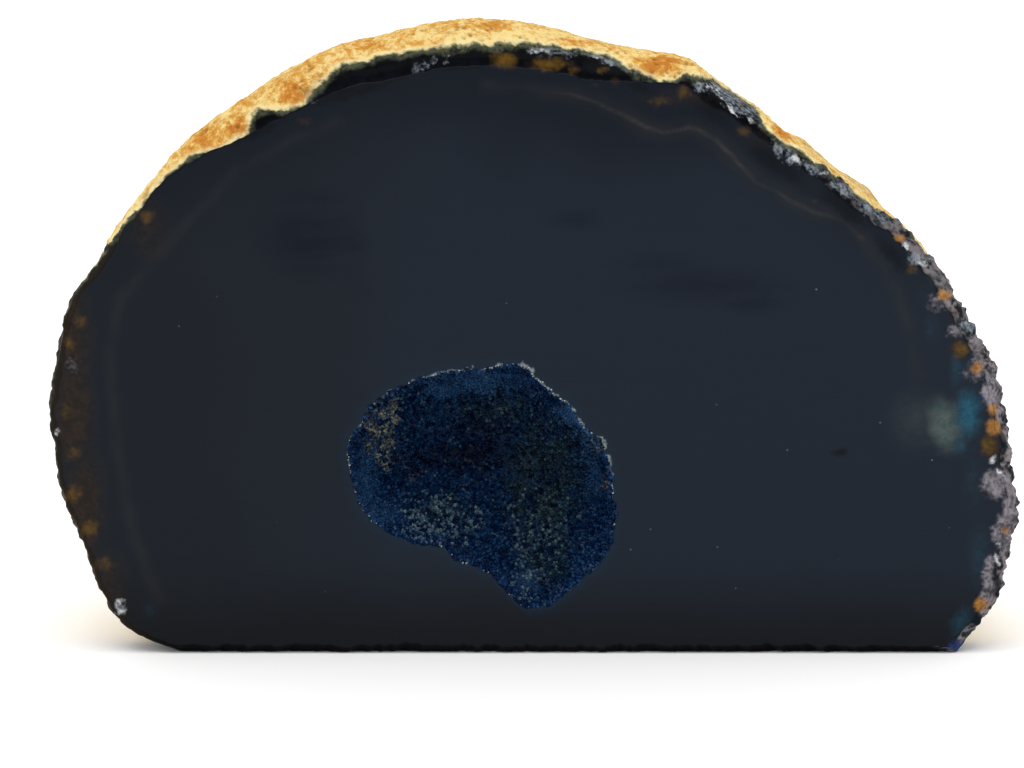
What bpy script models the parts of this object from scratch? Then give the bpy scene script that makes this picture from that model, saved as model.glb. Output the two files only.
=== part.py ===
"""Half of a dyed agate nodule: polished flat in front, sawn flat underneath, rough rind all round the back.

Metres, +Z up. The polished face looks along -Y, and the origin is under the middle of the stone's box.
"""

import math

import bpy
import bmesh
import numpy as np
from mathutils import Vector, noise

MM = 0.001

# Overall size of the stone
WIDTH = 130 * MM
DEPTH = 50 * MM
HEIGHT = 84.8 * MM

# Largest section across the stone, x and z in millimetres, from the left end of the sawn base over the top.
# The last five points are the natural underside that the saw took off.
SECTION = (
    (-48.2, 0.2), (-53.2, 1.9), (-56.6, 4.4), (-58.8, 9.0), (-60.9, 15.5), (-63.8, 22.0),
    (-64.2, 27.0), (-65.0, 33.0), (-63.9, 39.0), (-62.4, 46.3), (-60.5, 50.0), (-57.9, 52.5),
    (-55.6, 57.2), (-53.0, 60.4), (-49.7, 64.7), (-45.0, 69.3), (-35.8, 75.7), (-26.1, 80.8),
    (-20.7, 81.9), (-9.4, 84.2), (2.0, 83.1), (8.5, 81.0), (15.4, 79.9), (21.1, 79.0),
    (24.7, 75.9), (34.3, 68.8), (42.8, 62.1), (50.1, 56.4), (54.9, 50.4), (57.0, 46.2),
    (61.2, 39.3), (63.4, 30.2), (64.0, 25.8), (65.0, 18.9), (63.1, 10.7), (62.9, 6.9), (58.8, 2.2),
    (57.0, -1.0), (45.0, -6.0), (5.0, -10.0), (-25.0, -8.0), (-40.0, -2.5),
)
SECTION_CENTRE = (0.0, 34.0)
SECTION_SEGMENTS = 120
SECTION_BLUR = math.radians(1.5)
BACK_BLUR = math.radians(20)
BLUR_SAMPLES = 9

# How far the polished face stays inside the section: degrees counter-clockwise from +X, millimetres
FACE_INSET = (
    (0, 1.6), (55, 2.4), (70, 3.2), (82, 4.4), (99, 5.4), (118, 5.2), (137, 4.2), (148, 1.2),
    (200, 1.2), (340, 1.4),
)
ROLL_DEPTH_SIDE = 2.0 * MM
ROLL_DEPTH_TOP = 6.0 * MM
ROLL_RINGS = 3

# The rounded back: a superellipse from the rolled edge to the pole, with natural lumps
BACK_RINGS = 14
BACK_EXPONENT = 2.4
POLE = (4.0, 40.0)
HUB_DRIFT_POWER = 3
LUMP_SIZE = 27 * MM
LUMP_HEIGHT = 0.10
LUMP_SEED = 1
KNOB_SIZE = 9 * MM
KNOB_HEIGHT = 0.03
KNOB_SEED = 5
LUMPS_FROM = 6 * MM
LUMPS_FULL = 26 * MM

# Saw cut under the stone
BASE_CHAMFER = 1.0 * MM

# Mouth of the crystal-lined hollow on the polished face, x and z in millimetres, from the left over the top
MOUTH = (
    (-24.7, 29.0), (-22.3, 32.6), (-20.8, 34.8), (-17.6, 36.5), (-14.6, 37.9), (-7.2, 38.6),
    (-1.8, 39.4), (-0.5, 38.5), (1.8, 36.1), (6.9, 30.7), (9.1, 29.3), (10.4, 23.1),
    (11.0, 19.3), (9.4, 13.1), (6.9, 10.7), (1.3, 6.6), (-0.7, 6.0), (-2.6, 7.7),
    (-5.9, 11.5), (-12.5, 14.9), (-20.0, 17.2), (-22.2, 18.8), (-24.4, 25.0),
)
MOUTH_CENTRE = (-6.0, 25.0)
MOUTH_SEGMENTS = 52
MOUTH_BLUR = math.radians(2.5)
HOLLOW_DEPTH = 14 * MM
HOLLOW_EXPONENT = 2.0
HOLLOW_RINGS = 7
HOLLOW_RISE = 2.5 * MM
HOLLOW_LUMP_SIZE = 7 * MM
HOLLOW_LUMP_HEIGHT = 0.10
HOLLOW_LUMPS_FULL = 0.33
HOLLOW_SEED = 9
CUTTER_OVERLAP = 3 * MM

FACE_Y = -DEPTH / 2
MERGE = 0.00001
FLAT_WITHIN = 0.0001
FACING_FRONT = 0.999
FACING_DOWN = 0.7
SHARP_EDGE = math.radians(40)


def clear_scene():
    for old in list(bpy.data.objects):
        bpy.data.objects.remove(old, do_unlink=True)


def make_material(name, colour, roughness):
    material = bpy.data.materials.new(name)
    material.use_nodes = True
    shader = material.node_tree.nodes["Principled BSDF"]
    shader.inputs["Base Color"].default_value = (*colour, 1)
    shader.inputs["Roughness"].default_value = roughness
    shader.inputs["Metallic"].default_value = 0
    material.diffuse_color = (*colour, 1)
    return material


def outline_radii(points, centre, angles, blur):
    """Distance from the centre to a closed outline in each direction, with its corners eased."""
    offsets = np.array(points) * MM - np.array(centre) * MM
    directions = np.arctan2(offsets[:, 1], offsets[:, 0])
    lengths = np.hypot(offsets[:, 0], offsets[:, 1])
    turned = [np.interp(angles + shift, directions, lengths, period=2 * math.pi)
              for shift in np.linspace(-blur, blur, BLUR_SAMPLES)]
    return np.mean(turned, axis=0)


def face_insets(angles):
    degrees, insets = zip(*FACE_INSET)
    return np.interp(np.degrees(angles), degrees, insets, period=360) * MM


def superellipse(turn, exponent):
    """Fractions of the half-width and of the depth at a turn from 0 (the edge) to 1 (the pole)."""
    angle = turn * math.pi / 2
    return max(math.cos(angle), 0) ** (2 / exponent), math.sin(angle) ** (2 / exponent)


def lumpy(point, size, height, seed):
    """A factor near 1 that swells and shrinks smoothly over the given size."""
    return 1 + height * noise.noise(point / size + Vector((seed, 2 * seed, 3 * seed)))


def ease(value, start, end):
    """Rises from 0 at the start to 1 at the end, level at both."""
    share = min(max((value - start) / (end - start), 0), 1)
    return share * share * (3 - 2 * share)


def join_rings(bm, rings, pole):
    """Closes a stack of equal rings with a flat cap on the first and a fan to the pole behind the last."""
    count = len(rings[0])
    bm.faces.new(rings[0])
    for ring, following in zip(rings, rings[1:]):
        for i in range(count):
            j = (i + 1) % count
            bm.faces.new((ring[i], ring[j], following[j], following[i]))
    for i in range(count):
        bm.faces.new((rings[-1][i], rings[-1][(i + 1) % count], pole))
    bmesh.ops.recalc_face_normals(bm, faces=bm.faces)


def roll_ring(bm, centre, turn, edges):
    """One ring of the polished edge's roll, from the flat face at turn 0 out to the section at pi / 2."""
    ring = []
    for angle, radius, inset, roll in edges:
        reach = radius - inset * (1 - math.sin(turn))
        point = centre + Vector((math.cos(angle), 0, math.sin(angle))) * reach
        point.y = FACE_Y + roll * (1 - math.cos(turn))
        ring.append(bm.verts.new(point))
    return ring


def back_ring(bm, middle, width, depth, edges):
    """One ring of the rounded back, which loses the section's small bumps and gains lumps of its own."""
    ring = []
    for angle, radius, round_radius, roll in edges:
        behind_roll = (DEPTH - roll) * depth
        hub = Vector((middle.x, FACE_Y + roll + behind_roll, middle.z))
        fade = ease(behind_roll, LUMPS_FROM, LUMPS_FULL)
        reach = (radius + (round_radius - radius) * fade) * width
        direction = Vector((math.cos(angle), 0, math.sin(angle)))
        point = hub + direction * reach
        swell = (lumpy(point, LUMP_SIZE, LUMP_HEIGHT * fade, LUMP_SEED)
                 * lumpy(point, KNOB_SIZE, KNOB_HEIGHT * fade, KNOB_SEED))
        ring.append(bm.verts.new(hub + direction * reach * swell))
    return ring


def stone_rings(bm):
    angles = np.linspace(0, 2 * math.pi, SECTION_SEGMENTS, endpoint=False)
    radii = outline_radii(SECTION, SECTION_CENTRE, angles, SECTION_BLUR)
    round_radii = np.minimum(outline_radii(SECTION, SECTION_CENTRE, angles, BACK_BLUR), radii)
    insets = face_insets(angles)
    upward = np.clip(np.sin(angles), 0, 1) ** 2
    roll_depths = ROLL_DEPTH_SIDE + (ROLL_DEPTH_TOP - ROLL_DEPTH_SIDE) * upward
    centre = Vector((SECTION_CENTRE[0], 0, SECTION_CENTRE[1])) * MM
    pole = Vector((POLE[0] * MM, FACE_Y + DEPTH, POLE[1] * MM))
    roll_edges = list(zip(angles, radii, insets, roll_depths))
    back_edges = list(zip(angles, radii, round_radii, roll_depths))
    rings = [roll_ring(bm, centre, step / ROLL_RINGS * math.pi / 2, roll_edges)
             for step in range(ROLL_RINGS)]
    for step in range(BACK_RINGS):
        width, depth = superellipse(step / BACK_RINGS, BACK_EXPONENT)
        middle = centre.lerp(pole, depth ** HUB_DRIFT_POWER)
        rings.append(back_ring(bm, middle, width, depth, back_edges))
    return rings, bm.verts.new(pole)


def saw_off(bm, place, outward):
    """Cuts the stone with a plane, drops what lies outside it and closes the cut."""
    geometry = bm.verts[:] + bm.edges[:] + bm.faces[:]
    cut = bmesh.ops.bisect_plane(bm, geom=geometry, dist=MERGE, plane_co=place, plane_no=outward,
                                 clear_outer=True)
    edges = [item for item in cut["geom_cut"] if isinstance(item, bmesh.types.BMEdge)]
    bmesh.ops.edgeloop_fill(bm, edges=edges)
    bmesh.ops.recalc_face_normals(bm, faces=bm.faces)


def fit_to_size(bm):
    """Brings the sawn stone to its stated size, with the origin under the middle of its box."""
    places = np.array([vertex.co for vertex in bm.verts])
    low, high = places.min(axis=0), places.max(axis=0)
    size = np.array((WIDTH, DEPTH, HEIGHT))
    for vertex, share in zip(bm.verts, (places - low) / (high - low)):
        vertex.co = share * size - np.array((WIDTH / 2, DEPTH / 2, 0))


def assign_stone_materials(mesh):
    """Slot 0 is the rind, slot 1 the polished face and slot 2 the sawn base with its chamfer."""
    for face in mesh.polygons:
        normal = face.normal
        if normal.y < -FACING_FRONT and abs(face.center.y - FACE_Y) < FLAT_WITHIN:
            face.material_index = 1
        elif normal.z < -FACING_DOWN and face.center.z < BASE_CHAMFER:
            face.material_index = 2


def build_stone():
    bm = bmesh.new()
    rings, pole = stone_rings(bm)
    join_rings(bm, rings, pole)
    saw_off(bm, (0, 0, 0), (0, 0, -1))
    fit_to_size(bm)
    saw_off(bm, (0, FACE_Y, BASE_CHAMFER), (0, -1, -1))
    mesh = bpy.data.meshes.new("agate_geode")
    bm.to_mesh(mesh)
    bm.free()
    mesh.materials.append(make_material("rough_rind", (0.62, 0.46, 0.22), 0.85))
    mesh.materials.append(make_material("polished_agate", (0.017, 0.024, 0.037), 0.12))
    mesh.materials.append(make_material("sawn_agate", (0.06, 0.09, 0.14), 0.55))
    assign_stone_materials(mesh)
    mesh.shade_smooth()
    mesh.set_sharp_from_angle(angle=SHARP_EDGE)
    stone = bpy.data.objects.new("agate_geode", mesh)
    bpy.context.scene.collection.objects.link(stone)
    return stone


def build_hollow_cutter():
    """A lumpy bowl that starts in front of the polished face and narrows to a blunt end in the stone."""
    bm = bmesh.new()
    angles = np.linspace(0, 2 * math.pi, MOUTH_SEGMENTS, endpoint=False)
    radii = outline_radii(MOUTH, MOUTH_CENTRE, angles, MOUTH_BLUR)
    centre = Vector((MOUTH_CENTRE[0] * MM, FACE_Y, MOUTH_CENTRE[1] * MM))
    deepest = centre + Vector((0, HOLLOW_DEPTH, HOLLOW_RISE))
    shapes = [(1, -CUTTER_OVERLAP / HOLLOW_DEPTH)]
    shapes += [superellipse(step / HOLLOW_RINGS, HOLLOW_EXPONENT) for step in range(HOLLOW_RINGS)]
    rings = []
    for width, depth in shapes:
        middle = centre.lerp(deepest, depth)
        height = HOLLOW_LUMP_HEIGHT * ease(depth, 0, HOLLOW_LUMPS_FULL)
        ring = []
        for angle, radius in zip(angles, radii):
            spoke = Vector((math.cos(angle), 0, math.sin(angle))) * radius * width
            swell = lumpy(middle + spoke, HOLLOW_LUMP_SIZE, height, HOLLOW_SEED)
            ring.append(bm.verts.new(middle + spoke * swell))
        rings.append(ring)
    join_rings(bm, rings, bm.verts.new(deepest))
    mesh = bpy.data.meshes.new("hollow_cutter")
    bm.to_mesh(mesh)
    bm.free()
    mesh.materials.append(make_material("crystal_lining", (0.012, 0.03, 0.07), 0.35))
    mesh.shade_smooth()
    cutter = bpy.data.objects.new("hollow_cutter", mesh)
    bpy.context.scene.collection.objects.link(cutter)
    cutter.hide_render = True
    cutter.display_type = "WIRE"
    return cutter


def cut_hollow(stone, cutter):
    boolean = stone.modifiers.new("hollow", "BOOLEAN")
    boolean.operation = "DIFFERENCE"
    boolean.solver = "EXACT"
    boolean.material_mode = "TRANSFER"
    boolean.object = cutter


clear_scene()
cut_hollow(build_stone(), build_hollow_cutter())
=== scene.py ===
import math

import bpy
import numpy as np
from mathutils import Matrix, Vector, noise


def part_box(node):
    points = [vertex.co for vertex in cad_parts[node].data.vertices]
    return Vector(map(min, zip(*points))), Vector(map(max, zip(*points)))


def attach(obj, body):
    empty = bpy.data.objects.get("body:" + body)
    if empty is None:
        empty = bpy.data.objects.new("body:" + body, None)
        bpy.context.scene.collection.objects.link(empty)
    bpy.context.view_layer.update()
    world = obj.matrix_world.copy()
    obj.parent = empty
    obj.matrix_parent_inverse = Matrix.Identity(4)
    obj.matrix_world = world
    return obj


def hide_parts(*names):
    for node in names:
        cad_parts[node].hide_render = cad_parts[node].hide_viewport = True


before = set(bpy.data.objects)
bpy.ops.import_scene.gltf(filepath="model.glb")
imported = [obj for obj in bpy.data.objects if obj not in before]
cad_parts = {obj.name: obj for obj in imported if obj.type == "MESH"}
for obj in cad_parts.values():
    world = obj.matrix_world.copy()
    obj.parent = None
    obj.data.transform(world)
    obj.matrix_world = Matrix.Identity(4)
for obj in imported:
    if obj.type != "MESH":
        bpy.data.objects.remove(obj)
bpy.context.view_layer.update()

mm = 0.001
scene = bpy.context.scene


def addObject(name, data):
    added = bpy.data.objects.new(name, data)
    scene.collection.objects.link(added)
    return added


# All shapes below are in millimetres until they become a mesh. x and z lie in the polished face, y goes back.
stone = {
    "section": (  # largest section across the stone, from the left end of the sawn base over the top
        (-48.2, 0.2), (-53.2, 1.9), (-56.6, 4.4), (-58.8, 9), (-60.9, 15.5), (-63.8, 22), (-64.2, 27),
        (-65, 33), (-63.9, 39), (-62.4, 46.3), (-60.5, 50), (-57.9, 52.5), (-55.6, 57.2), (-53, 60.4),
        (-49.7, 64.7), (-45, 69.3), (-35.8, 75.7), (-26.1, 80.8), (-20.7, 81.9), (-9.4, 84.2), (2, 83.1),
        (8.5, 81), (15.4, 79.9), (21.1, 79), (24.7, 75.9), (34.3, 68.8), (42.8, 62.1), (50.1, 56.4),
        (54.9, 50.4), (57, 46.2), (61.2, 39.3), (63.4, 30.2), (64, 25.8), (65, 18.9), (63.1, 10.7),
        (62.9, 6.9), (58.8, 2.2), (57, -1), (45, -6), (5, -10), (-25, -8), (-40, -2.5)),
    "centre": (0, 34),
    "faceInset": (  # degrees counter-clockwise from +x, and how far the flat face stays inside the section
        (0, 1.6), (55, 2.4), (70, 3.2), (82, 4.4), (99, 5.4), (118, 5.2), (137, 4.2), (148, 1.2),
        (200, 1.2), (340, 1.4)),
    "quartzRim": (  # degrees, and how much coarse broken quartz shows along the rim
        (-31, 0.9), (-8, 1), (12, 0.9), (26, 0.8), (40, 0.6), (52, 0.25), (60, 0), (140, 0), (158, 0.35),
        (200, 0.45), (215, 0.3), (222, 0), (327, 0)),
    "depth": 50, "faceY": -25, "rollSide": 2, "rollTop": 6, "backExponent": 2.4,
    "pole": (4, 40), "hubDriftPower": 3,
    "outlineBlur": math.radians(1.5), "backBlur": math.radians(20),
    "ragged": ((2.3, 0.22, 3), (0.8, 0.1, 4)),  # size, height, seed
    "raggedQuartz": 1.6,
    "lumps": ((27, 0.1, 1), (9, 0.03, 5)),  # size, height as a share of the reach, seed
    "calm": ((28, 0), (34, 0.25), (44, 0.25), (50, 0)),  # degrees, and how much flatter the lumps are there
    "lumpsFrom": 6,
    "lumpsFull": 26,
    "archFrom": math.radians(-31),  # the arch above the base, the rest is sawn underneath
    "archTo": math.radians(215),
    "archColumns": 1100, "baseColumns": 240, "rimWidth": 13, "rimRows": 84, "backRows": 165,
    "rindSplits": (50, 105),  # rows behind the rim at which the rind is cut into pieces
    "sawChamfer": 1,
    "chamferWaver": ((3, 0.5, 8), (0.9, 0.35, 9)),
    "core": (0, 8, 36),  # where the hidden inner sides of the pieces meet
    "dip": 0.06,  # how far one piece reaches below its neighbour at a seam
}

view = {
    "elevation": 10,
    "lens": 121.4,
    "sensor": 36,
    "away": 460,
    "target": (-2.86, -25.5, 37.08),
    "clip": (0.01, 20),
    "stretch": (1.0119, 1.0275),  # from this camera's picture to the photograph
    "shift": (-2.9, 36.82),
}
tilt = math.radians(view["elevation"])
viewAhead = np.array((0, math.cos(tilt), -math.sin(tilt)))
viewUp = np.array((0, math.sin(tilt), math.cos(tilt)))
cameraPlace = np.array(view["target"]) - view["away"] * viewAhead


def photoPlace(points):
    # x and z at which the photograph's view shows points, in millimetres on the plane of the face
    offsets = points - cameraPlace
    nearer = view["away"] / (offsets @ viewAhead)
    return (view["stretch"][0] * offsets[..., 0] * nearer + view["shift"][0],
            view["stretch"][1] * (offsets @ viewUp) * nearer + view["shift"][1])


def polar(points, centre):
    # directions and distances of flat points, seen from a centre
    offsets = np.array(points) - np.array(centre)
    return np.arctan2(offsets[:, 1], offsets[:, 0]), np.hypot(offsets[:, 0], offsets[:, 1])


def ring(directions, radii):
    return np.stack((np.cos(directions) * radii, 0 * directions, np.sin(directions) * radii), axis=-1)


def outlineRadii(points, centre, angles, blur):
    directions, lengths = polar(points, centre)
    turned = [np.interp(angles + shift, directions, lengths, period=2 * math.pi)
              for shift in np.linspace(-blur, blur, 9)]
    return np.mean(turned, axis=0)


def sectionRadiiAt(angles, blur):
    return outlineRadii(stone["section"], stone["centre"], angles, stone[blur])


def byDegrees(directions, table):
    # values of a table of degrees and values, carried on round the circle
    return np.interp(np.degrees(directions), *zip(*table), period=360)


def ease(value, start, end):
    share = np.clip((value - start) / (end - start), 0, 1)
    return share * share * (3 - 2 * share)


def eachPoint(function, points, size, seed):
    moved = points.reshape(-1, 3) / size + np.array((seed, 2 * seed, 3 * seed))
    return np.array([function(place) for place in moved.tolist()]).reshape(points.shape[:-1])


def softNoise(points, size, seed):
    return eachPoint(noise.noise, points, size, seed)


def layered(points, layers):
    # noise of several sizes, each given as size, height and seed
    return sum(height * softNoise(points, size, seed) for size, height, seed in layers)


def cellDistance(points, size, seed):
    return eachPoint(lambda place: noise.voronoi(place)[0][0], points, size, seed)


print("stone: surface grid")


def evenAngles(start, end, count):
    # directions that cut the section into equal lengths
    fine = np.linspace(start, end, 4000)
    radii = sectionRadiiAt(fine, "outlineBlur")
    steps = np.hypot(np.diff(radii * np.cos(fine)), np.diff(radii * np.sin(fine)))
    walked = np.concatenate(((0,), np.cumsum(steps)))
    return np.interp(np.linspace(0, walked[-1], count, endpoint=False), walked, fine)


angles = np.concatenate((
    evenAngles(stone["archFrom"], stone["archTo"], stone["archColumns"]),
    evenAngles(stone["archTo"], stone["archFrom"] + 2 * math.pi, stone["baseColumns"])))
cosines, sines = np.cos(angles), np.sin(angles)
sectionRadii = sectionRadiiAt(angles, "outlineBlur")
backRadii = np.minimum(sectionRadiiAt(angles, "backBlur"), sectionRadii)
rollDepths = stone["rollSide"] + (stone["rollTop"] - stone["rollSide"]) * np.clip(sines, 0, 1) ** 2
edgePoints = ring(angles, sectionRadii)
quartzRim = byDegrees(angles, stone["quartzRim"])
faceInsets = byDegrees(angles, stone["faceInset"]) + (
    1 + stone["raggedQuartz"] * quartzRim) * layered(edgePoints, stone["ragged"])
chamfers = stone["sawChamfer"] * (1 + layered(edgePoints, stone["chamferWaver"]))


def stonePoints(turns):
    # smooth stone surface, a turn is 0 at the flat face, 1 at the section and 2 at the pole
    rolled = np.clip(turns, 0, 1) * math.pi / 2
    behind = np.clip(turns - 1, 0, 1) * math.pi / 2
    width = np.clip(np.cos(behind), 0, 1) ** (2 / stone["backExponent"])
    depth = np.sin(behind) ** (2 / stone["backExponent"])
    drift = depth ** stone["hubDriftPower"]
    hubX = stone["centre"][0] + (stone["pole"][0] - stone["centre"][0]) * drift
    hubZ = stone["centre"][1] + (stone["pole"][1] - stone["centre"][1]) * drift
    behindRoll = (stone["depth"] - rollDepths) * depth
    y = stone["faceY"] + rollDepths * (1 - np.cos(rolled)) + behindRoll

    def placed(reach):
        return np.stack((hubX + cosines * reach, y, hubZ + sines * reach), axis=-1)

    fade = ease(behindRoll, stone["lumpsFrom"], stone["lumpsFull"])
    reach = (sectionRadii + (backRadii - sectionRadii) * fade) * width - faceInsets * (1 - np.sin(rolled))
    points = placed(reach)
    calm = byDegrees(angles, stone["calm"]) * ease(behindRoll, 34, 16)
    for size, height, seed in stone["lumps"]:
        reach = reach * (1 + height * fade * (1 - calm) * softNoise(points, size, seed))
    lift = np.clip(chamfers - (y - stone["faceY"]), 0, None)
    limit = np.where(sines < -0.05, (hubZ - lift) / np.clip(-sines, 0.05, None), 1e6)
    sawn = reach > limit - 1e-6
    reach = np.minimum(reach, limit)
    return placed(reach), sawn


coarseTurns = np.concatenate((np.linspace(0, 1, 16, endpoint=False), 1 + np.linspace(0, 1, 130) ** 1.2))
coarsePoints, _ = stonePoints(np.repeat(coarseTurns[:, None], len(angles), axis=1))
boxLow, boxHigh = np.array(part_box("agate_geode")) / mm
fitScale = (boxHigh - boxLow) / (coarsePoints.max((0, 1)) - coarsePoints.min((0, 1)))
fitShift = boxLow - coarsePoints.min((0, 1)) * fitScale
walked = np.concatenate((np.zeros((1, len(angles))), np.cumsum(
    np.linalg.norm(np.diff(coarsePoints, axis=0), axis=-1), axis=0)))
backSteps = np.linspace(0, 1, stone["backRows"] + 1)[1:, None]
rimSteps = np.linspace(0, stone["rimWidth"], stone["rimRows"])[:, None]
alongRows = np.concatenate((
    rimSteps + 0 * angles, stone["rimWidth"] + (walked[-1] - stone["rimWidth"]) * backSteps))
turns = np.stack([np.interp(alongRows[:, i], walked[:, i], coarseTurns) for i in range(len(angles))], axis=1)
turns[-1] = 2
surface, sawn = stonePoints(turns)
surface = surface * fitScale + fitShift
lastRim = stone["rimRows"]


def gridNormals(points):
    # outward directions, for rows from the face to the pole and columns round the stone
    across = np.roll(points, -1, axis=1) - np.roll(points, 1, axis=1)
    normals = np.cross(np.gradient(points, axis=0), across)
    normals[-1] = (0, 1, 0)
    return normals / np.clip(np.linalg.norm(normals, axis=-1, keepdims=True), 1e-9, None)


normals = gridNormals(surface)

print("stone: rind edge")
rind = {
    "lowerEdge": (  # in the photograph's view: x, z
        (-57.5, 55.5), (-51, 63.3), (-46.4, 67.7), (-42.4, 69), (-38.6, 70.5), (-38.1, 73.6),
        (-36.9, 74.3), (-34, 74.3), (-30.9, 74.7), (-30, 76.8), (-26.9, 79.7), (-21.6, 81.6), (-18, 82.1),
        (-13.7, 82.7), (-9.1, 83.1), (-4.4, 83.2), (-0.3, 83.6), (4.9, 82.8), (11, 81.7), (12.9, 79.9),
        (17.9, 77.5), (20.3, 79), (25.3, 78.3), (27.2, 77.3), (29.4, 75.8), (30.6, 74.1), (31.3, 72.2),
        (32.6, 70.9), (34.5, 69.2), (36.6, 68.3), (38, 66.9), (39.6, 66.3), (41, 65), (42.9, 64.4),
        (44.8, 62.9)),
    "deepestStart": 9,
    "taperFrom": 4.5,
    "startElsewhere": (  # degrees, and how far behind the face edge the rind begins
        (-31, 7), (14, 7), (22, 4), (30, 3), (38, 2.2), (150, 2), (157, 2.6), (162, 4.5), (168, 7),
        (215, 7)),
    "jag": ((2.2, 0.45, 21), (0.9, 0.34, 22), (0.4, 0.22, 23)),  # size, height, seed
    "lumps": ((6, 0.28, 31), (2.6, 0.2, 32)),
    "grains": ((1.2, 0.19, 33), (0.55, 0.15, 34)),
    "tornEdge": ((0.8, 0.16, 43), (0.4, 0.12, 44)),
    "setBack": 0.3,  # how far the agate in front of it lies lower
}
seenX, seenZ = photoPlace(surface)
seenRadii = np.hypot(seenX - stone["centre"][0], seenZ - stone["centre"][1])
lineAngles, lineRadii = polar(rind["lowerEdge"], stone["centre"])
lineOrder = np.argsort(lineAngles)
wantedRadii = np.interp(angles, lineAngles[lineOrder], lineRadii[lineOrder], left=np.nan, right=np.nan)
rindStart = np.interp(np.degrees(angles), *zip(*rind["startElsewhere"]))
for i in np.flatnonzero(~np.isnan(wantedRadii)):
    outermost = int(np.argmax(seenRadii[:lastRim, i])) + 1
    rindStart[i] = np.interp(wantedRadii[i], seenRadii[:outermost, i], alongRows[:outermost, i])
deepPart = np.clip(rindStart - rind["taperFrom"], 0, rind["deepestStart"] - rind["taperFrom"])
taper = np.hanning(41) / np.hanning(41).sum()
tapered = np.convolve(np.concatenate((deepPart[-20:], deepPart, deepPart[:20])), taper, mode="valid")
rindStart = np.minimum(rindStart, rind["taperFrom"]) + np.minimum(deepPart, 1.2 * tapered)
rindStart = rindStart + 0.5 * softNoise(edgePoints, 2.5, 24) * ease(rindStart, 3, 6)
rindDepth = alongRows - rindStart  # how far a point lies inside the rind, negative in front of it
for size, height, seed in rind["jag"]:
    rindDepth = rindDepth + height * softNoise(surface, size, seed)
crust = ease(rindDepth, -0.05, 0.2) * ~sawn
offSaw = ease(surface[..., 2], 0.3, 3)

print("stone: rind relief")
rows = np.arange(len(surface))[:, None]
fineMesh = np.where(rows < lastRim, 1, ease(rows, lastRim + 30, lastRim) * 0.6 + 0.4)
relief = layered(surface, rind["lumps"]) + fineMesh * layered(surface, rind["grains"])
pits = ease(cellDistance(surface, 3.1, 35), 0.42, 0.1) * ease(softNoise(surface, 8, 36), -0.05, 0.25)
smallPits = ease(cellDistance(surface, 1.1, 37), 0.4, 0.12)
smallPits = smallPits * ease(softNoise(surface, 4, 38), -0.15, 0.2)
crustHeight = crust * (relief - 0.55 * pits - 0.28 * smallPits * fineMesh)
chips = 0.22 * (0.5 - cellDistance(surface, 2.6, 41)) + 0.1 * softNoise(surface, 0.7, 42)
nearEdge = ease(alongRows, 0.3, 1.6) * ease(-sines, -0.95, -0.5)
roughEdge = ease(rindDepth, -1.1, -0.3) * layered(surface, rind["tornEdge"])
facets = 1.4 * (0.55 - cellDistance(surface, 2.1, 45)) + 0.5 * (0.5 - cellDistance(surface, 0.85, 46))
setBack = rind["setBack"] * (1 - quartzRim) * ease(alongRows, 0.4, 2.2)
polishHeight = (1 - crust) * (nearEdge * (chips + quartzRim * facets) - setBack + roughEdge)
height = (crustHeight + polishHeight) * np.where(sawn, 0, 1) * ease(alongRows, 0, 0.5) * offSaw
height[-1] = height[-1].mean()
surface = surface + normals * height[..., None]
surface[..., 2] = np.maximum(surface[..., 2], 0)
surface[-1] = surface[-1].mean(0)


def gridIds(rowCount, columnCount, closed=True):
    ids = np.arange(rowCount * columnCount).reshape(rowCount, columnCount)
    return np.concatenate((ids, ids[:, :1]), axis=1) if closed else ids


def quads(ids, flipped=False):
    corners = [ids[:-1, :-1], ids[1:, :-1], ids[1:, 1:], ids[:-1, 1:]]
    return np.stack(corners[::-1] if flipped else corners, axis=-1).reshape(-1, 4).tolist()


def makeMesh(name, points, smoothFaces, flatFaces, fields, material):
    # a mesh object in metres, with named values per point
    mesh = bpy.data.meshes.new(name)
    mesh.from_pydata((points * mm).tolist(), [], smoothFaces + flatFaces)
    smooth = np.zeros(len(mesh.polygons), bool)
    smooth[:len(smoothFaces)] = True
    mesh.polygons.foreach_set("use_smooth", smooth)
    for field, values in fields.items():
        full = np.zeros(len(points), np.float32)
        full[:values.size] = values.ravel()
        mesh.attributes.new(field, "FLOAT", "POINT").data.foreach_set("value", full)
    mesh.materials.append(material)
    mesh.update()
    return addObject(name, mesh)


def makeWedge(name, firstRow, lastRow, columns, fieldNames, material):
    # a patch of the surface with a margin that dips under its neighbours, closed by flat faces to the core
    toPole = lastRow == len(surface) - 1
    wantedRows = np.arange(max(firstRow - 1, 0), min(lastRow + 1, len(surface) - 1) + 1)
    patch = np.ix_(wantedRows, columns)
    margin = (wantedRows < firstRow) | (wantedRows > lastRow)
    sunk = np.repeat(margin[:, None], len(columns), axis=1)
    sunk[:, (0, -1)] = True
    points = surface[patch] - stone["dip"] * normals[patch] * sunk[..., None]
    ids = gridIds(*points.shape[:2], closed=False)
    used = int(ids[-1, 0]) + 1 if toPole else ids.size  # the pole is one point, the last of those used
    flat = np.concatenate((points.reshape(-1, 3)[:used], [stone["core"]]))
    fields = {field: surfaceFields[field][patch].ravel()[:used] for field in fieldNames}
    if toPole:
        faces = quads(ids[:-1]) + [[int(a), used - 1, int(b)] for a, b in zip(ids[-2, :-1], ids[-2, 1:])]
        loop = np.concatenate((ids[0], ids[1:-1, -1], (used - 1,), ids[-2:0:-1, 0]))
    else:
        faces = quads(ids)
        loop = np.concatenate((ids[0], ids[1:, -1], ids[-1, -2::-1], ids[-2:0:-1, 0]))
    closing = [[int(a), int(b), used] for a, b in zip(loop, np.roll(loop, -1))]
    return makeMesh(name, flat, faces, closing, fields, material)


print("markings")
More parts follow.
